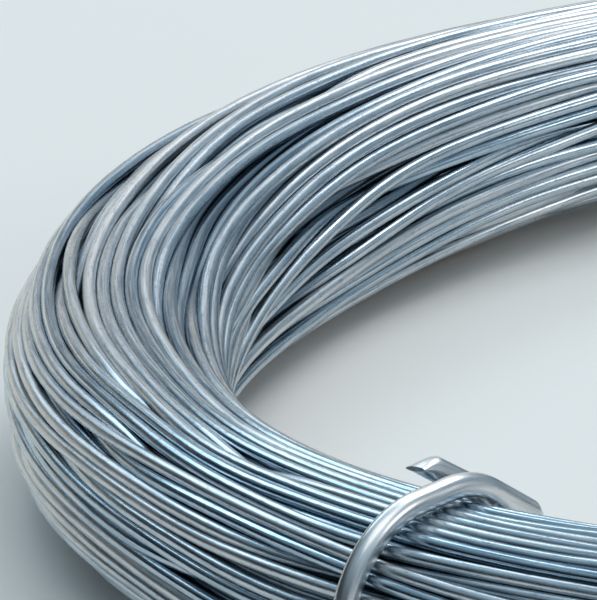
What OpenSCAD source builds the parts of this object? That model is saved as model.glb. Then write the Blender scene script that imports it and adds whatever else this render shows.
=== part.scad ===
// Coil of galvanized wire, hand tied with three short lengths of thicker wire.
// It lies flat on its ties, with the origin on the floor under the middle of the eye.

/* [Wire] */
// Diameter of the coiled wire
wire_d = 2.5; // [1.8:0.1:4]

/* [Bundle] */
// Diameter of the clear eye in the middle of the coil
eye_d = 301; // [200:1:500]
// Width of the wound bundle, from the eye to the rim
bundle_w = 39; // [32:1:60]
// Height of the wound bundle
bundle_h = 35; // [30:1:60]
// Radius of the four shoulders of the bundle's section, as a share of its smaller side
shoulder_share = 0.457; // [0.3:0.001:0.47]
// How far single turns stand back from the outline of the bundle
turn_play = 0.5; // [0:0.05:0.6]

/* [Ties] */
// Diameter of the tie wire
tie_d = 4.2; // [2.5:0.1:6]
// Gap between a tie and the bundle that it holds
tie_clear = 0.3; // [0.2:0.05:0.5]
// Direction of the first tie as seen from above, in degrees
tie_angle = 225; // [195:1:255]
// How far a tie's lower end bends down over the inner shoulder, in degrees
tail_bend = 36; // [20:1:60]
// Length of the straight lower end, past its bend
tail_reach = 15.5; // [8:0.5:18]
// How far a tie's standing end bends over the inner shoulder, in degrees
tip_bend = 55; // [40:1:75]
// Length of the straight standing end, past its bend
tip_reach = 12; // [8:0.5:20]
// Length of the bevel that the cutter leaves on each end
cut_length = 4; // [1.5:0.25:5]
// Thickness of the chisel edge at each end
cut_edge = 0.8; // [0.5:0.1:1.5]

/* [Hidden] */

ZINC = [0.62, 0.67, 0.72];
BRIGHT_ZINC = [0.78, 0.80, 0.82];

// The bundle's section stands on the ties, with its middle at mean_r and mid_z
mean_r = eye_d / 2 + bundle_w / 2;
mid_z = tie_d + tie_clear + bundle_h / 2;

// The outer turns lie side by side on a rounded rectangle through their centres
shoulder_r = shoulder_share * min(bundle_w, bundle_h);
path_r = shoulder_r - wire_d / 2;
flat_w = bundle_w - 2 * shoulder_r;
flat_h = bundle_h - 2 * shoulder_r;
path_length = 2 * flat_w + 2 * flat_h + 360 * path_r * PI / 180;
turns = floor(path_length / wire_d);
pitch = path_length / turns;
// The packed turns behind them fill the section up to the valleys between them
valley = 0.36 * wire_d;
core_r = shoulder_r - valley;
// Angle that spreads the turns' play without a pattern
GOLDEN = 137.508;

// A tie's centre line keeps its clearance from the bundle all round
tie_bend = shoulder_r + tie_clear + tie_d / 2;
tie_half_h = bundle_h / 2 + tie_clear + tie_d / 2;
// Both ends pass the inner shoulder side by side, so each half of a tie leans
tail_height = 2 * tie_half_h - tie_bend * (1 - cos(tail_bend)) - tail_reach * sin(tail_bend);
tie_lean = atan((tie_d + tie_clear) / 2 / tail_height);
side_run = 2 * tie_half_h / cos(tie_lean) - 2 * tie_bend;
TIES = 3;
// Share of the tie's radius by which a chisel edge lies nearer the bundle
cut_sink = 0.7;
SIDES = 12;
BEND_STEP = 15;

// Where a distance along the path falls, anticlockwise from the foot of the rim's flat:
// [side, distance along its flat, degrees round the corner after it]
function walk(s, side = 0) =
    let (
        flat = side % 2 == 0 ? flat_h : flat_w,
        quarter = 90 * path_r * PI / 180
    )
    s < flat + quarter || side == 3
        ? [side, min(s, flat), max(0, s - flat) / quarter * 90]
        : walk(s - flat - quarter, side + 1);

// Corner centres of the section, in the order that walk() meets them
function corner(i) = [
    (i == 0 || i == 3 ? 1 : -1) * flat_w / 2,
    (i < 2 ? 1 : -1) * flat_h / 2
];

function turn_centre(k) =
    let (
        w = walk(k * pitch),
        flat = w[0] % 2 == 0 ? flat_h : flat_w,
        heading = 90 * w[0],
        back = flat - w[1],
        out = heading + w[2],
        r = path_r - turn_play * (0.5 + 0.5 * sin(GOLDEN * k))
    )
    corner(w[0])
        - back * [-sin(heading), cos(heading)]
        + r * [cos(out), sin(out)];

// Section of the bundle: a packed core with every outer turn standing on it
module bundle_section() {
    square([bundle_w - 2 * valley, flat_h], center = true);
    square([flat_w, bundle_h - 2 * valley], center = true);
    for (i = [0:3]) translate(corner(i)) circle(r = core_r, $fn = 64);
    for (k = [0:turns - 1]) translate(turn_centre(k)) circle(d = wire_d, $fn = 24);
}

module wire_coil() {
    color(ZINC)
    translate([0, 0, mid_z])
    rotate_extrude($fn = 180)
    translate([mean_r, 0])
    bundle_section();
}

// A bent wire is a chain of [straight length, bend in degrees] in one plane. A station is
// [height, reach, heading, thickness, sink]: heading 0 runs along the reach and the wire
// bends upwards, thickness is 1 where it is round, and sink moves its middle inwards
function along(at, length, thickness = 1, sink = 0) = [
    at[0] + length * sin(at[2]), at[1] + length * cos(at[2]), at[2], thickness, sink
];
function around(at, turn) = [
    at[0] + tie_bend * (cos(at[2]) - cos(at[2] + turn)),
    at[1] + tie_bend * (sin(at[2] + turn) - sin(at[2])),
    at[2] + turn, 1, 0
];
function chain(steps, at = [0, 0, 0, 1, 0], i = 0) =
    i == len(steps) ? [at] :
    let (
        foot = along(at, steps[i][0]),
        turn = steps[i][1],
        n = ceil(turn / BEND_STEP)
    )
    concat([at], [for (j = [0:n - 1]) around(foot, turn * j / n)],
        chain(steps, around(foot, turn), i + 1));

// The end of a chain, pinched by the cutter to a chisel edge
function cut_end(stations, length) =
    let (last = stations[len(stations) - 1])
    concat(stations, [
        along(last, length),
        along(last, length + cut_length, cut_edge / tie_d, cut_sink)
    ]);

// Points round a station of a half that reaches out (1) or in (-1), and leans sideways
function ring(station, way, lean) = [
    for (j = [0:SIDES - 1])
        let (
            a = 360 * j / SIDES,
            inwards = tie_d / 2 * (station[3] * cos(a) + station[4]),
            aside = tie_d / 2 * sin(a),
            height = station[0] + inwards * cos(station[2]),
            reach = station[1] - inwards * sin(station[2])
        )
        [
            way * reach,
            aside * cos(lean) + height * sin(lean),
            height * cos(lean) - aside * sin(lean)
        ]
];

module tube(rings) {
    n = len(rings);
    polyhedron(
        points = [for (r = rings) each r],
        faces = [
            [for (j = [0:SIDES - 1]) j],
            for (i = [0:n - 2]) for (j = [0:SIDES - 1])
                let (k = (j + 1) % SIDES, low = i * SIDES, high = low + SIDES)
                each [[low + j, high + j, high + k], [low + j, high + k, low + k]],
            [for (j = [SIDES - 1:-1:0]) (n - 1) * SIDES + j]
        ]
    );
}

// One tie, standing in the XZ plane round the bundle's middle, with the rim at +X
module tie() {
    // under the bundle, up the rim, over the top and down to the inner shoulder
    tail = cut_end(chain([[flat_w / 2, 90], [side_run, 90], [flat_w, tail_bend]]), tail_reach - cut_length);
    // under the bundle, up through the eye and back over the top as the standing end
    tip = cut_end(chain([[flat_w / 2, 90], [side_run, tip_bend]]), tip_reach - cut_length);
    translate([0, 0, -tie_half_h])
    tube(concat(
        [for (i = [len(tail) - 1:-1:0]) ring(tail[i], 1, tie_lean)],
        [for (i = [1:len(tip) - 1]) ring(tip[i], -1, -tie_lean)]
    ));
}

module tie_at(i) {
    color(BRIGHT_ZINC)
    rotate([0, 0, tie_angle + i * 360 / TIES])
    translate([mean_r, 0, mid_z])
    tie();
}

module tie_front() { tie_at(0); }
module tie_right() { tie_at(1); }
module tie_back() { tie_at(2); }

wire_coil();
tie_front();
tie_right();
tie_back();
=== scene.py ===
# %% [markdown]
# # A tied coil of galvanized wire
#
# The object is a single wire, wound round and round into a bundle nearly 4 cm thick, laid
# flat and tied in three places with short ends of thicker wire. This lesson keeps the frame
# that the coil was designed in, and dresses it: every turn of the wire, the ties with their
# pinched ends, and the zinc that covers both.

# %% Load the frame
import math
import bpy
import numpy as np
from mathutils import Matrix, Vector


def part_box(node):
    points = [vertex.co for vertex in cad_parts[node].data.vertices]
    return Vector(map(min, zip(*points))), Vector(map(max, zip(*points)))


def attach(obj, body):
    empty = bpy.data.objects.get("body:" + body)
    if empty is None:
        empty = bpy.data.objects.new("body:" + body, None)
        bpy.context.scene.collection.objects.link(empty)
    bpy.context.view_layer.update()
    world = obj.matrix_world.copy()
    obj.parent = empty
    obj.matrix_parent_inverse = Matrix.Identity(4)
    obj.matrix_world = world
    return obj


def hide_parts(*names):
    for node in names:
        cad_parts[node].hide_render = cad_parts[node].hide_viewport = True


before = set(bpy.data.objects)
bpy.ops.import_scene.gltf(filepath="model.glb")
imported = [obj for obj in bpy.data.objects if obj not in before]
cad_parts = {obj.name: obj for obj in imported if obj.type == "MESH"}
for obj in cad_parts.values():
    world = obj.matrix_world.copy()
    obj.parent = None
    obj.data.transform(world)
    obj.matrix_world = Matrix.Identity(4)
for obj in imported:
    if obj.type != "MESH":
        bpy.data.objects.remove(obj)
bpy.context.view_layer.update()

# %% [markdown]
# ## Sizes
#
# Lengths are in millimetres here and become metres where a mesh is made. The bundle's height
# and its place come from the frame, so that the wire always fills the solid that it stands
# for. What the frame can't say is written down: the bundle's width, the gauge of both wires
# and where the ties are. Angles are in degrees round the ring, as seen from above.

# %% Measure the frame
MM = 0.001
low, high = (np.array(corner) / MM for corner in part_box("wire_coil"))
bundle_w = 39.0
bundle_h = high[2] - low[2]
ring_r = (high[0] - low[0]) / 2 - bundle_w / 2
ring_z = (high[2] + low[2]) / 2
wire_d = 2.5
tie_d = 4.2
TIE_ANGLES = (225, 345, 105)
print(f"ring radius {ring_r:.2f}, middle at {ring_z:.2f}, bundle {bundle_w} x {bundle_h:.2f}")

# %% [markdown]
# ## Seats for the turns
#
# Cut through the bundle and you see the wire nearly two hundred times, packed almost as
# tightly as round things can be: in rows, each row in the dips of the one below. Rings
# inside rings would be another way to lay it, but they leave gaps between them. So every
# turn gets a seat on a triangular grid inside the outline of the bundle's section, which is
# a rectangle with very round corners. The seats are numbered row by row, back and forth.

# %% Lay out the seats
GRID = 1.03 * wire_d
SQUARENESS = 2.9

def in_section(at, half_w, half_h, squareness=SQUARENESS):
    """1 on the outline of the section and less inside it. A squareness of 2 is an ellipse."""
    across = np.abs(at[..., 0] / half_w) ** squareness
    upwards = np.abs(at[..., 1] / half_h) ** squareness
    return (across + upwards) ** (1 / squareness)

def lay_seats(half_w, half_h):
    """Rows and columns of a grid that is wider and higher than the section, cut to its outline."""
    seats = []
    for row in range(-8, 9):
        at = np.array([(GRID * (k + row % 2 / 2), GRID * row * math.sqrt(3) / 2) for k in range(-9, 10)])
        at = at[in_section(at, half_w, half_h) <= 1]
        seats += list(at if row % 2 else at[::-1])
    return np.array(seats)

seats = lay_seats((bundle_w - wire_d) / 2, (bundle_h - wire_d) / 2)
TURNS = len(seats)
print(TURNS, "turns, about", round(TURNS * 2 * math.pi * ring_r / 1000), "m of wire")

# %% [markdown]
# ## Wandering turns
#
# Nobody lays wire in perfect rings. Where the bundle was slack, turns changed places with
# their neighbours, and climbed over each other at a few degrees. Random waves alone would
# leave each turn in its own layer. So here and there round the ring, two turns trade seats
# over a good length of wire. A lap starts and ends under a tie, and a trade's angles count
# from there. A seat is in one trade at a time. The seed is fixed, so the coil is the same on
# every run.

# %% Let neighbours trade seats
START = TIE_ANGLES[1]
TRIES, LAST_BEGIN = 330, 215
SHORTEST, LONGEST = 70, 95
# How far apart two seats may be, from next to each other to three seats away
TRADE_WITHIN = [1.2 * GRID, 2.1 * GRID, 3.1 * GRID]
rng = np.random.default_rng(7)
trades = []
busy_until = np.zeros(TURNS)

def trade(seat, others, begin, length):
    """The turns in a seat and in one of the others change places, if both seats are free."""
    free = [k for k in others if busy_until[k] <= begin]
    if busy_until[seat] > begin or not free:
        return False
    other = free[rng.integers(len(free))]
    busy_until[[seat, other]] = begin + length
    trades.append((begin, length, seat, other))
    return True

gaps = np.linalg.norm(seats[:, None] - seats[None], axis=2)
for begin in np.sort(rng.uniform(0, LAST_BEGIN, TRIES)):
    seat = rng.integers(TURNS)
    within = rng.choice(TRADE_WITHIN)
    others = np.flatnonzero((gaps[seat] > 0) & (gaps[seat] < within))
    trade(seat, others, begin, rng.uniform(SHORTEST, LONGEST))
print(len(trades), "trades")

# %% [markdown]
# The wire is one piece, so the turn that ends a lap in a seat starts the next lap there, and
# every seat has to be visited before the wire comes back to its first one. Random trades
# leave many closed loops. One more trade at the end of the lap joins two loops into one, so
# the first loop takes in one neighbour after another until it holds every turn.

# %% Make the turns one wire
JOIN_BEGIN, JOIN_LENGTH = 312, 46

def lap_ends():
    """The seat in which the turn ends that starts in each seat."""
    occupant = np.arange(TURNS)
    for _, _, one, other in sorted(trades):
        occupant[[one, other]] = occupant[[other, one]]
    ends = np.empty(TURNS, int)
    ends[occupant] = np.arange(TURNS)
    return ends

def loop_from(seat, ends):
    """The seats in the order in which the wire visits them."""
    loop = [seat]
    while ends[loop[-1]] != seat:
        loop.append(ends[loop[-1]])
    return loop

within = TRADE_WITHIN[0]
while len(loop := loop_from(0, lap_ends())) < TURNS:
    outside = np.setdiff1d(np.arange(TURNS), loop)
    if not any(trade(seat, [k for k in outside if gaps[seat, k] < within], JOIN_BEGIN, JOIN_LENGTH)
               for seat in rng.permutation(loop)):
        within += GRID
print(len(trades), "trades make one wire of", len(loop), "turns")

# %% [markdown]
# Two turns that trade can't pass through each other, so they swing half round the middle
# between them, like partners in a dance, one way or the other. Besides that, each turn
# drifts a little on its own, in slow waves that fade out at the ends of the lap, and the
# whole bundle is twisted to and fro by a few degrees. The section is kept at stations round
# the ring, as a place across (away from the ring's middle) and a place up for each turn.

# %% Trace each lap of the wire
STATIONS = 180
DRIFT = 0.6
TWIST, TWIST_FROM = np.radians(12), 0.6

def rotate(across, up, angle):
    """Places in the section, turned by an angle about its middle."""
    return np.stack([np.cos(angle) * across - np.sin(angle) * up,
                     np.sin(angle) * across + np.cos(angle) * up], axis=-1)

stations = np.arange(STATIONS) * 360 / STATIONS
turn_in = np.arange(TURNS)
spot = np.repeat(seats[None], STATIONS, axis=0)
for begin, length, one, other in sorted(trades):
    part = np.clip((stations - begin) / length, 0, 1)
    swing = math.pi * part ** 2 * (3 - 2 * part) * rng.choice([-1, 1])
    apart = (seats[one] - seats[other]) / 2
    step = rotate(*apart, swing) - apart
    mover, yielder = turn_in[one], turn_in[other]
    spot[:, mover] += step
    spot[:, yielder] -= step
    turn_in[one], turn_in[other] = yielder, mover

lap_angle = np.radians(stations)[:, None, None]
for waves in (1, 2, 3, 4):
    late = rng.uniform(0, 2 * math.pi, (1, TURNS, 2))
    spot += DRIFT * np.sin(lap_angle / 2) * np.cos(waves * lap_angle + late)
twist = TWIST * np.sin(2 * lap_angle[:, :, 0] + TWIST_FROM)
laps = rotate(spot[..., 0], spot[..., 1], twist)[:, loop]
print("laps traced at", STATIONS, "stations")

# %% [markdown]
# ## The shape of the bundle
#
# The ties pinch the bundle to its nominal size and make its section rounder. Between them
# it is free to swell or to lie flatter, here more and there less. An outline drawn by hand
# at every station could say so, but a few swells, each of which fades out on both sides of
# its own angle, need far fewer numbers. The laps are stretched to the outline they make.

# %% Swell the bundle between its ties
# How many degrees to either side a tie holds the bundle and rounds its section
HELD, ROUNDED = 9, 24
LESS_SQUARE = 0.5
# Each swell's angle, its width in degrees, and the shares that it adds across and upwards
SWELLS = (
    (160, 22, 0.09, 0),
    (145, 26, 0, 0.22),
    (203, 14, -0.13, 0),
    (255, 16, 0.05, 0.05),
    (295, 25, 0.03, 0.08),
    (45, 30, 0.04, 0),
    (35, 30, 0, 0.10),
)

def fade(middle, width):
    """For every station, 1 at one angle of the ring, and less and less on both sides of it."""
    away = (START + stations - middle + 180) % 360 - 180
    return np.exp(-(away / width) ** 2)

held = sum(fade(angle, HELD) for angle in TIE_ANGLES)
wider = sum(share * fade(angle, width) for angle, width, share, _ in SWELLS)
taller = sum(share * fade(angle, width) for angle, width, _, share in SWELLS)
half_w = (bundle_w / 2 * (1 + wider * (1 - held)))[:, None]
half_h = (bundle_h / 2 * (1 + taller * (1 - held)))[:, None]
squareness = (SQUARENESS - LESS_SQUARE * sum(fade(angle, ROUNDED) for angle in TIE_ANGLES))[:, None]
section = laps * np.stack([half_w / (bundle_w / 2), half_h / (bundle_h / 2)], axis=2)
print(f"the bundle is {2 * half_w.min():.1f} to {2 * half_w.max():.1f} mm wide, "
      f"{2 * half_h.min():.1f} to {2 * half_h.max():.1f} mm high")

# %% [markdown]
# ## Settling
#
# Two turns can't be in one place, and wire is stiff: it won't kink to make room. A physics
# simulation would know both facts, but two hundred metres of wire would keep it busy for
# long. Here sums on the sections do the same in seconds. Over and over, turns that overlap
# push each other apart across the section.

# %% Find the turns that overlap
# Pairs of turns this near are watched, and looked for again after so many rounds
NEAR, LOOK_AGAIN = 1.7 * wire_d, 12
BATCH = 20
# The overlap in millimetres from which a pair is counted
MUCH = 0.15

def touching(section):
    """Pairs of turns that are near each other, a batch of stations at a time to spare memory."""
    found = []
    for first in range(0, STATIONS, BATCH):
        batch = section[first:first + BATCH].astype(np.float32)
        gap = ((batch[:, :, None] - batch[:, None]) ** 2).sum(-1)
        station, one, other = np.nonzero(gap < NEAR ** 2)
        keep = one < other
        found.append(np.stack([(station[keep] + first) * TURNS + one[keep],
                               (station[keep] + first) * TURNS + other[keep]]))
    return np.hstack(found)

def push_apart(section, pairs):
    """The way each turn is pushed at each station, and how far each pair overlaps."""
    flat = section.reshape(-1, 2)
    gap = flat[pairs[0]] - flat[pairs[1]]
    length = np.hypot(*gap.T) + 1e-9
    overlap = np.maximum(wire_d - length, 0)
    move = gap * (overlap / length)[:, None]
    count = len(flat)
    shift = np.stack([np.bincount(pairs[0], move[:, c], count) - np.bincount(pairs[1], move[:, c], count)
                      for c in (0, 1)], axis=1)
    return shift.reshape(section.shape), overlap

def tell(overlap):
    """How well the turns keep clear of each other, in words."""
    many = 100 * (overlap > MUCH).mean()
    return f"{many:.1f}% of near pairs overlap by over {MUCH} mm, the worst by {overlap.max():.2f} mm"
print("unsettled,", tell(push_apart(section, touching(section))[1]))

# %% [markdown]
# Each push is shared out along the wire on both sides, because stiff wire gives way over a
# length and not at one point. Whatever leaves the outline of the bundle is eased back in.

# %% Share out a push
# Each push reaches stations on both sides, most where it acts and less and less further off
SHARERS = 5
hump = np.exp(-(np.arange(-2 * SHARERS, 2 * SHARERS + 1) / SHARERS) ** 2)
hump /= hump.sum()

def spread(shift):
    """Shares pushes out along the wire, lap after lap. It smooths places in the same way."""
    wire = shift.transpose(1, 0, 2).reshape(-1, 2)
    ends = len(hump) // 2
    wire = np.pad(wire, ((ends, ends), (0, 0)), "edge")
    wire = np.stack([np.convolve(wire[:, c], hump, "valid") for c in (0, 1)], axis=1)
    return wire.reshape(TURNS, STATIONS, 2).transpose(1, 0, 2)

def level_in(section):
    """1 for a turn that lies along the bundle's outline, and less further in."""
    return in_section(section, half_w - wire_d / 2, half_h - wire_d / 2, squareness)
print("a push reaches", len(hump), "stations")

# %% [markdown]
# At first a part of each push acts at one station alone, which parts the turns quickly. Then
# the wire is smoothed, and it settles once more by shared pushes only, so no kink is left.

# %% Settle the bundle
PUSH, SHARED, PULL_IN = 0.25, 0.9, 0.6

def settle(section, rounds, alone):
    """Pushes and eases the turns so many times. Alone is the share of a push at one station only."""
    for count in range(rounds):
        if count % LOOK_AGAIN == 0:
            pairs = touching(section)
        shift, overlap = push_apart(section, pairs)
        outside = np.maximum(level_in(section), 1)
        shift = PUSH * shift - section * (PULL_IN * (1 - 1 / outside))[..., None]
        section = section + alone * shift + SHARED * spread(shift)
    return section, overlap

section, overlap = settle(section, 300, alone=0.35)
section, overlap = settle(spread(section), 300, alone=0)
print("settled,", tell(overlap))

# %% [markdown]
# ## From a path to a wire
#
# A bent wire is a round profile that follows a path. A curve with a bevel depth is one way
# to make it. Geometry Nodes do it in two steps, Mesh to Curve and Curve to Mesh, and can
# also use what is known about each point of the path, so one tree serves the coil and its
# ties. Its inputs are the path, the wire's radius, the number of sides and the finish.
# A small class adds the nodes of this tree, and later those of the finishes.

# %% Prepare to add nodes
class Nodes:
    """A node tree. add() takes a node's type, its settings, then its sockets by name or number."""

    def __init__(self, tree):
        self.tree = tree

    def add(self, kind, settings, sockets):
        node = self.tree.nodes.new(kind)
        for key, value in settings.items():
            setattr(node, key, value)
        for key, value in sockets.items():
            self.put(node.inputs[key], value)
        return node.outputs

    def put(self, socket, value):
        """Links a socket, or a Sum's socket, and sets anything else as the value."""
        value = getattr(value, "socket", value)
        if isinstance(value, bpy.types.NodeSocket):
            self.tree.links.new(value, socket)
        else:
            socket.default_value = value
print("nodes can be added")

# %% [markdown]
# The path carries four facts at each point: how hard a cutter pinched the wire there, which
# way, how far along the wire it is, and how deep in the bundle it lies. The tree uses the
# first two to squeeze the ends to a blade. The others stay on the mesh, with the place round
# the profile, so that the zinc can follow the wire and paint shade on turns deep inside.

# %% Build the bent wire tree
bent = Nodes(bpy.data.node_groups.new("Bent wire", "GeometryNodeTree"))
bent_inputs = {}
for name, kind in (("Path", "Geometry"), ("Radius", "Float"), ("Sides", "Int"), ("Finish", "Material")):
    socket = bent.tree.interface.new_socket(name, in_out="INPUT", socket_type="NodeSocket" + kind)
    bent_inputs[name] = socket.identifier
bent.tree.interface.new_socket("Wire", in_out="OUTPUT", socket_type="NodeSocketGeometry")

def keep(geometry, name, value):
    return bent.add("GeometryNodeStoreNamedAttribute", {"data_type": "FLOAT_VECTOR", "domain": "POINT"},
                    {"Geometry": geometry, "Name": name, "Value": value})[0]

def fact(name, kind="FLOAT_VECTOR"):
    return bent.add("GeometryNodeInputNamedAttribute", {"data_type": kind}, {"Name": name})["Attribute"]

def reckon(kind, operation, first, second):
    return bent.add(kind, {"operation": operation}, {0: first, 1: second})

given = bent.add("NodeGroupInput", {}, {})
place = bent.add("GeometryNodeInputPosition", {}, {})[0]
spine = keep(bent.add("GeometryNodeMeshToCurve", {}, {"Mesh": given["Path"]})[0], "spine", place)
profile = bent.add("GeometryNodeCurvePrimitiveCircle", {},
                   {"Resolution": given["Sides"], "Radius": given["Radius"]})[0]
skin = bent.add("GeometryNodeCurveToMesh", {},
                {"Curve": spine, "Profile Curve": keep(profile, "round", place), "Fill Caps": True})[0]
print("the wire's skin takes", len(bent.tree.nodes), "nodes")

# %% Pinch the ends and hand the wire over
# How far from the middle a blade lies, as a share of the radius
BLADE_SIDE = 0.86
blade = fact("blade")
aside = reckon("ShaderNodeVectorMath", "SUBTRACT", place, fact("spine"))[0]
depth = reckon("ShaderNodeVectorMath", "DOT_PRODUCT", aside, blade)["Value"]
edge = reckon("ShaderNodeMath", "MULTIPLY", given["Radius"], BLADE_SIDE)[0]
above_edge = reckon("ShaderNodeMath", "SUBTRACT", depth, edge)[0]
squeeze = reckon("ShaderNodeMath", "MULTIPLY", above_edge, fact("pinch", "FLOAT"))[0]
inwards = bent.add("ShaderNodeVectorMath", {"operation": "SCALE"}, {0: blade, "Scale": squeeze})[0]
pinched = bent.add("GeometryNodeSetPosition", {}, {"Geometry": skin, "Offset": inwards})[0]
smooth = bent.add("GeometryNodeSetShadeSmooth", {}, {"Geometry": pinched})[0]
whole = bent.add("GeometryNodeRealizeInstances", {}, {"Geometry": smooth})[0]
coated = bent.add("GeometryNodeSetMaterial", {}, {"Geometry": whole, "Material": given["Finish"]})[0]
bent.add("NodeGroupOutput", {}, {0: coated})
print("the tree has", len(bent.tree.nodes), "nodes and takes", list(bent_inputs))

# %% [markdown]
# ## Zinc
#
# The tree asks for a finish, so the finishes come before the wire. Shader sums could be
# built node by node, but they read better as plain expressions: a small class wraps a
# socket, and a sum of wrapped sockets adds the Math nodes.

# %% Write shader sums as expressions
class Sum:
    """A number in a node tree. Arithmetic on it adds Math nodes."""

    def __init__(self, nodes, socket):
        self.nodes, self.socket = nodes, socket

    def math(self, operation, *terms):
        made = self.nodes.add("ShaderNodeMath", {"operation": operation}, dict(enumerate(terms)))
        return Sum(self.nodes, made[0])

    def __add__(self, other):
        return self.math("ADD", self, other)

    def __sub__(self, other):
        return self.math("SUBTRACT", self, other)

    def __rsub__(self, other):
        return self.math("SUBTRACT", other, self)

    def __mul__(self, other):
        return self.math("MULTIPLY", self, other)

    __radd__, __rmul__ = __add__, __mul__
print("sums are ready")

# %% Start a finish
class Shades(Nodes):
    """The node tree of a finish or of the sky, with the few nodes that both use."""

    def read(self, attribute, output="Fac"):
        return Sum(self, self.add("ShaderNodeAttribute", {"attribute_name": attribute}, {})[output])

    def noise(self, at, scale, detail, roughness=0.5):
        made = self.add("ShaderNodeTexNoise", {}, {"Vector": at, "Scale": scale, "Detail": detail,
                                                   "Roughness": roughness})
        return Sum(self, made["Fac"])

    def span(self, value, low, high, to_low=0.0, to_high=1.0):
        """Goes from one number to another as the value goes from low to high, and no further."""
        made = self.add("ShaderNodeMapRange", {}, {"Value": value, "From Min": low, "From Max": high,
                                                   "To Min": to_low, "To Max": to_high})
        return Sum(self, made["Result"])

    def blend(self, factor, first, second):
        return self.add("ShaderNodeMix", {"data_type": "RGBA", "clamp_result": True},
                        {0: factor, 6: first, 7: second})[2]

class Finish(Shades):
    """A new material, with one shader whose inputs are set by name."""

    def __init__(self, name):
        self.material = bpy.data.materials.new(name)
        self.material.use_nodes = True
        super().__init__(self.material.node_tree)
        self.shader = self.tree.nodes["Principled BSDF"]

    def set(self, name, value):
        self.put(self.shader.inputs[name], value)
print("finishes can be mixed")

# %% [markdown]
# ## The coil's own zinc, and painted shade
#
# Hot-dip zinc on drawn wire is blue-grey and half bright. It carries fine streaks along the
# wire from the die and the wiping, and small dull flecks. From length to length it changes
# between a bluer, glossier coat and a paler, duller one, as the bath and the air treated
# each stretch of the wire differently. Turns deep in the bundle get hardly any light, and
# their shade is also painted into the colour: they are darkened towards a deep blue. A
# pattern laid through space would cut across the turns, so this one reads the place round
# the profile and the way along the wire, and follows it.

# %% Coat the coil
def wire_place(finish, stretch):
    """Where a point is on its wire: round the profile, and along the wire, drawn out by stretch."""
    lengthwise = finish.add("ShaderNodeCombineXYZ", {}, {"Z": finish.read("along") * (1 / stretch)})[0]
    around = finish.read("round", "Vector")
    return finish.add("ShaderNodeVectorMath", {"operation": "ADD"}, {0: around, 1: lengthwise})[0]

def coat(finish, tone, roughness, relief, strength):
    """Sets a metal of this tone and roughness, with a relief of a few hundredths of a millimetre."""
    finish.set("Base Color", tone)
    finish.set("Metallic", 1.0)
    finish.set("Roughness", roughness)
    finish.set("Normal", finish.add("ShaderNodeBump", {}, {"Strength": strength, "Distance": 0.05 * MM,
                                                           "Height": relief})[0])
    print(finish.material.name, "has", len(finish.tree.nodes), "nodes")

zinc = Finish("coil_zinc")
streaks = zinc.noise(wire_place(zinc, 30), 2600, 3)
flecks = zinc.noise(wire_place(zinc, 2.5), 1500, 3, 0.6)
paler = zinc.span(zinc.noise(wire_place(zinc, 1), 2.2, 1), 0.38, 0.62)
tone = zinc.blend(paler, (0.375, 0.50, 0.60, 1), (0.68, 0.69, 0.70, 1))
tone = zinc.blend(zinc.span(streaks, 0.45, 0.65, 0, 0.5), tone, (0.78, 0.80, 0.81, 1))
tone = zinc.blend(zinc.span(streaks, 0.46, 0.34, 0, 0.5), tone, (0.20, 0.29, 0.37, 1))
tone = zinc.blend(zinc.span(flecks, 0.58, 0.70, 0, 0.6), tone, (0.30, 0.34, 0.40, 1))
# Painted shade: turns deep inside the bundle are darkened towards deep blue in the base colour.
tone = zinc.blend(0.75 * zinc.read("buried_shade"), tone, (0.06, 0.11, 0.16, 1))
coat(zinc, tone, 0.12 + 0.14 * streaks + 0.16 * paler, streaks + flecks, 0.4)

# %% [markdown]
# ## The ties' zinc
#
# The ties were cut from a thicker wire with a brighter and smoother coat. It is made in the
# same way, from broader and softer streaks, and evenly along the wire.

# %% Coat the ties
bright = Finish("tie_zinc")
streaks = bright.noise(wire_place(bright, 20), 1200, 2)
flecks = bright.noise(wire_place(bright, 2), 900, 3, 0.6)
tone = bright.blend(bright.span(streaks, 0.35, 0.65), (0.56, 0.58, 0.60, 1), (0.80, 0.80, 0.80, 1))
tone = bright.blend(bright.span(flecks, 0.62, 0.75, 0, 0.5), tone, (0.50, 0.53, 0.56, 1))
coat(bright, tone, 0.20 + 0.20 * streaks, streaks + flecks, 0.2)

# %% [markdown]
# ## Every turn of the wire
#
# The settled sections become one long path, round the ring once for each turn, and the tree
# makes it a wire. Closed rings would be simpler, but a strand that crosses the bundle has to
# lead somewhere, and on one path it always does.

# %% Prepare a path
def way_along(points):
    """How far each point is along a path."""
    return np.concatenate([[0], np.cumsum(np.linalg.norm(np.diff(points, axis=0), axis=1))])

def wire_path(name, points, along, pinch=0, blade=(0, 0, 0), buried_shade=0):
    """A mesh of one open line, in metres, that carries the facts the tree asks for."""
    mesh = bpy.data.meshes.new(name)
    mesh.from_pydata((points * MM).tolist(), [(i, i + 1) for i in range(len(points) - 1)], [])
    for fact_name, values in (("pinch", pinch), ("along", along * MM), ("buried_shade", buried_shade)):
        values = np.broadcast_to(values, len(points)).astype(np.float32)
        mesh.attributes.new(fact_name, "FLOAT", "POINT").data.foreach_set("value", values)
    blades = np.broadcast_to(blade, points.shape).astype(np.float32)
    mesh.attributes.new("blade", "FLOAT_VECTOR", "POINT").data.foreach_set("vector", blades.ravel())
    return mesh
print("paths carry pinch, blade, along and buried")

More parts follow.
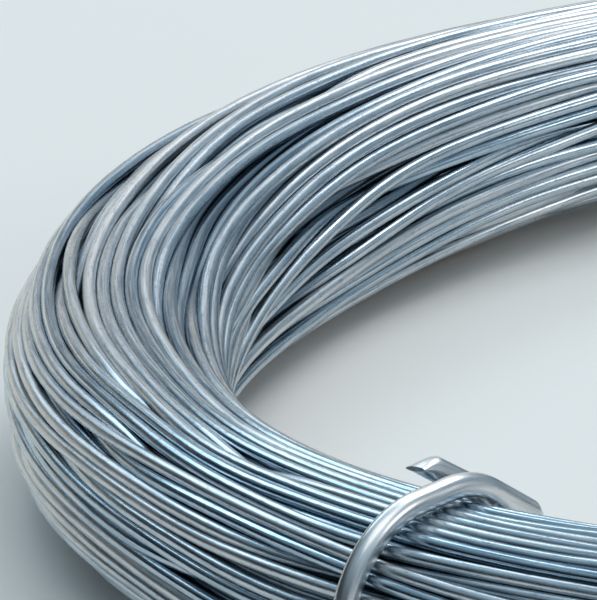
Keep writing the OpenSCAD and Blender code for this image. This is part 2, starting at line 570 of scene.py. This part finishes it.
# %% Prepare to bend a wire
def bend_wire(name, mesh, radius, sides, finish):
    """Runs the tree on a path and returns the wire as a plain mesh object."""
    drawn = bpy.data.objects.new(name + "_path", mesh)
    bpy.context.scene.collection.objects.link(drawn)
    modifier = drawn.modifiers.new("Bent wire", "NODES")
    modifier.node_group = bent.tree
    for key, value in (("Radius", radius * MM), ("Sides", sides), ("Finish", finish.material)):
        modifier[bent_inputs[key]] = value
    bpy.context.view_layer.update()
    made = drawn.evaluated_get(bpy.context.evaluated_depsgraph_get())
    wire = bpy.data.objects.new(name, bpy.data.meshes.new_from_object(made))
    bpy.context.scene.collection.objects.link(wire)
    bpy.data.objects.remove(drawn)
    return wire
print("the tree's inputs are set by", list(bent_inputs.values()))

# %% [markdown]
# A turn that lies well inside the bundle's outline gets painted shade, more of it deeper in.
# The wire is cut into five lengths only to keep each mesh light.

# %% Draw the turns
LENGTHS = 5
TURN_SIDES = 12
OUTER_LEVEL, BURIED_LEVEL = 0.95, 0.87
across, up = section.transpose(1, 0, 2).reshape(-1, 2).T
wound = np.radians(START + np.arange(len(across)) * 360 / STATIONS)
radius = ring_r + across
points = np.stack([radius * np.cos(wound), radius * np.sin(wound), ring_z + up], axis=1)
along = way_along(points)
# How much painted shade each point gets, from how far inside the bundle's outline it lies.
buried_shade = np.clip((OUTER_LEVEL - level_in(section)) / (OUTER_LEVEL - BURIED_LEVEL), 0, 1).T.ravel()
print(f"{along[-1] / 1000:.1f} m of wire")

cuts = np.linspace(0, len(points) - 1, LENGTHS + 1).astype(int)
for number, (first, last) in enumerate(zip(cuts, cuts[1:]), 1):
    length = slice(first, last + 1)
    path = wire_path(f"turns_{number}", points[length], along[length], buried_shade=buried_shade[length])
    piece = bend_wire(f"turns_{number}", path, wire_d / 2, TURN_SIDES, zinc)
    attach(piece, "root")
    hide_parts("wire_coil")
    print(piece.name, len(piece.data.polygons), "faces")

# %% [markdown]
# ## The ties
#
# A tie is bent round the bundle by hand with pliers. It starts under the bundle. One half
# goes up the rim, over the top and a little way down the inner shoulder. The other goes up
# through the eye and back over the top, and its end stands clear. The halves lean, so that
# the ends pass each other side by side. Both ends were cut with pliers, whose jaws leave a
# blunt blade. A free curve could draw this, but it would need many points and would not keep
# its gap from the bundle.

# %% Size a tie
TIE_GAP = 0.3
SHOULDER = 0.457 * bundle_h
TAIL_BEND, TAIL_REACH = 36, 15.5
TIP_BEND, TIP_REACH = 55, 12
CUT_LENGTH, CUT_EDGE, CUT_HOLLOW = 4.0, 0.8, 1.3
bend_r = SHOULDER + TIE_GAP + tie_d / 2
half = bundle_h / 2 + TIE_GAP + tie_d / 2
flat_w = bundle_w - 2 * SHOULDER
fall = math.radians(TAIL_BEND)
crossing = 2 * half - bend_r * (1 - math.cos(fall)) - TAIL_REACH * math.sin(fall)
lean = math.atan((tie_d + TIE_GAP) / 2 / crossing)
side_run = 2 * half / math.cos(lean) - 2 * bend_r
print(f"bends of {bend_r:.1f} mm radius, and halves that lean by {math.degrees(lean):.1f} degrees")

# %% [markdown]
# So a tie is drawn as pliers make it, as a chain of straight runs and bends in a plane, with
# how far it reaches out and how high it is. Then its halves are stood up and leant.

# %% Bend a tie
STEP, BEND_STEP = 0.6, 2.5

def chain(steps):
    """Places and headings of a wire that starts level and bends upwards, from (straight, bend) pairs."""
    heading = 0.0
    moves = [(0.0, 0.0, 0.0)]
    for straight, bend in steps:
        count = max(1, math.ceil(straight / STEP))
        moves += [(straight / count, heading, heading)] * count
        count = math.ceil(bend / BEND_STEP)
        for _ in range(count):
            small = math.radians(bend) / count
            moves.append((bend_r * small, heading + small / 2, heading + small))
            heading += small
    distance, way, headings = np.array(moves).T
    return np.cumsum(distance[:, None] * np.stack([np.cos(way), np.sin(way)], axis=1), axis=0), headings

def half_tie(steps, way):
    """Points and blade directions of the half that goes outwards (1) or inwards (-1)."""
    places, headings = chain(steps)
    def stand(reach, rise):
        return np.stack([way * reach, rise * math.sin(way * lean), rise * math.cos(way * lean)], axis=1)
    return stand(*places.T) - (0, 0, half), stand(-np.sin(headings), np.cos(headings))

tail, tail_blade = half_tie([(flat_w / 2, 90), (side_run, 90), (flat_w, TAIL_BEND), (TAIL_REACH, 0)], 1)
tip, tip_blade = half_tie([(flat_w / 2, 90), (side_run, TIP_BEND), (TIP_REACH, 0)], -1)
line = np.vstack([tail[::-1], tip[1:]])
blades = np.vstack([tail_blade[::-1], tip_blade[1:]])
run = way_along(line)
to_end = np.minimum(run, run[-1] - run)
pinch = -(1 - CUT_EDGE / tie_d) * np.clip(1 - to_end / CUT_LENGTH, 0, 1) ** CUT_HOLLOW
print(f"a tie is {run[-1]:.0f} mm of wire")

# %% Set three ties round the coil
TIE_SIDES = 28
for name, angle in zip(("tie_front", "tie_right", "tie_back"), TIE_ANGLES):
    rotation = np.array(Matrix.Rotation(math.radians(angle), 3, "Z"))
    points = (line + (ring_r, 0, 0)) @ rotation.T + (0, 0, ring_z)
    path = wire_path(name, points, run + angle, pinch, blades @ rotation.T)
    piece = bend_wire(name + "_wire", path, tie_d / 2, TIE_SIDES, bright)
    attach(piece, "root")
    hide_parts(name)
    print(piece.name, len(piece.data.polygons), "faces")

# %% [markdown]
# ## The studio
#
# The coil lies on a plain pale floor, big enough to fill the view.

# %% Lay the floor
FLOOR_HALF = 12
ground = bpy.data.meshes.new("floor")
corners = [(x * FLOOR_HALF, y * FLOOR_HALF, 0) for x, y in ((-1, -1), (1, -1), (1, 1), (-1, 1))]
ground.from_pydata(corners, [], [(0, 1, 2, 3)])
floor = bpy.data.objects.new("floor", ground)
bpy.context.scene.collection.objects.link(floor)
paint = Finish("pale_floor")
paint.set("Base Color", (0.86, 0.83, 0.79, 1))
paint.set("Roughness", 0.6)
floor.data.materials.append(paint.material)
print("floor laid")

# %% [markdown]
# Zinc is nearly a mirror, and each strand is a mirror drawn out to a thread: it shows what
# stands all round it as fine lines along the wire. So the room matters more than the lamps.
# A panorama could be the room, but a few soft patches are easier to place. The room is dark
# low down, where the strands turn away, and a soft blue-grey high up. Two patches behind the
# coil and one to the right make the long highlights, and a pale warm horizon behind it
# lights the upper edge of every strand.

# %% Make the sky
world = bpy.data.worlds.new("studio")
bpy.context.scene.world = world
world.use_nodes = True
sky = Shades(world.node_tree)
toward = sky.add("ShaderNodeTexCoord", {}, {})["Generated"]
x, y, z = (Sum(sky, socket) for socket in sky.add("ShaderNodeSeparateXYZ", {}, {0: toward}))
shade = sky.blend(sky.span(z + 0.4 * x, 0.0, 0.8), (0.008, 0.016, 0.026, 1), (0.44, 0.60, 0.71, 1))
# Soft patches: the direction of the middle, the cosines at which one starts and is full, its colour
for middle, faint, full, colour in (
    ((0.00, 0.94, 0.34), 0.86, 0.97, (0.31, 0.33, 0.36, 1)),
    ((0.16, 0.70, 0.70), 0.91, 0.98, (1.05, 1.12, 1.18, 1)),
    ((0.85, 0.15, 0.48), 0.75, 0.97, (0.34, 0.43, 0.50, 1)),
):
    aim = Vector(middle).normalized()
    near = sky.add("ShaderNodeVectorMath", {"operation": "DOT_PRODUCT"}, {0: toward, 1: aim})["Value"]
    shade = sky.blend(sky.span(near, faint, full), shade, colour)
behind = sky.span(y - 0.3 * x, 0.84, 0.97)
level_with_it = 1 - sky.span(z * z, 0.0, 0.05)
shade = sky.blend(behind * level_with_it, shade, (1.45, 1.20, 0.92, 1))
background = world.node_tree.nodes["Background"]
sky.put(background.inputs["Color"], shade)
background.inputs["Strength"].default_value = 1.0
print("sky made of", len(sky.tree.nodes), "nodes")

# %% [markdown]
# A mirror shows lamps but hardly takes their light, so four big dim ones are enough: they
# lay soft shadows on the floor and add a shine here and there.

# %% Hang the lamps
def lamp(name, direction, size, watts, colour, distance=2.2):
    """A rectangle of light that stands in one direction and faces the middle of the coil."""
    data = bpy.data.lights.new(name, "AREA")
    data.shape, data.size, data.size_y = "RECTANGLE", size[0], size[1]
    data.energy, data.color = watts, colour
    light = bpy.data.objects.new(name, data)
    light.location = Vector(direction).normalized() * distance
    light.rotation_euler = light.location.to_track_quat("Z", "Y").to_euler()
    bpy.context.scene.collection.objects.link(light)

lamp("left_lamp", (-0.36, 0.69, 0.63), (1.3, 0.6), 6.5, (0.68, 0.88, 1))
lamp("right_lamp", (0.36, 0.46, 0.81), (1.1, 0.8), 12, (0.94, 0.97, 1))
lamp("low_lamp", (0.80, -0.36, 0.46), (1.0, 0.6), 6, (1, 0.92, 0.84))
lamp("top_lamp", (0.05, -0.30, 0.95), (1.6, 1.6), 9, (1, 0.92, 0.84))
print(len(bpy.data.lights), "lamps lit")

# %% [markdown]
# ## The camera
#
# A very long lens stands well back, low over the floor, a little left of the near side, and
# takes in less than half of the ring. It leans over by about four degrees.

# %% Place the camera
def look(azimuth, elevation, distance, aim, roll, lens):
    """A camera that stands in one direction from the frame's origin and looks at a point."""
    a, e = math.radians(azimuth), math.radians(elevation)
    eye = distance * Vector((math.cos(a) * math.cos(e), math.sin(a) * math.cos(e), math.sin(e)))
    data = bpy.data.cameras.new("camera")
    data.lens, data.sensor_width = lens, 36
    camera = bpy.data.objects.new("camera", data)
    facing = (Vector(aim) - eye).to_track_quat("-Z", "Y").to_matrix().to_4x4()
    camera.matrix_world = Matrix.Translation(eye) @ facing @ Matrix.Rotation(math.radians(roll), 4, "Z")
    bpy.context.scene.collection.objects.link(camera)
    return camera

view = look(azimuth=-95.74, elevation=19.67, distance=1.4961,
            aim=(-0.1366, 0.0429, 0.022), roll=-4.34, lens=502)
bpy.context.scene.camera = view
bpy.context.scene.view_settings.view_transform = "Standard"
print("camera stands at", [round(v, 3) for v in view.matrix_world.translation])
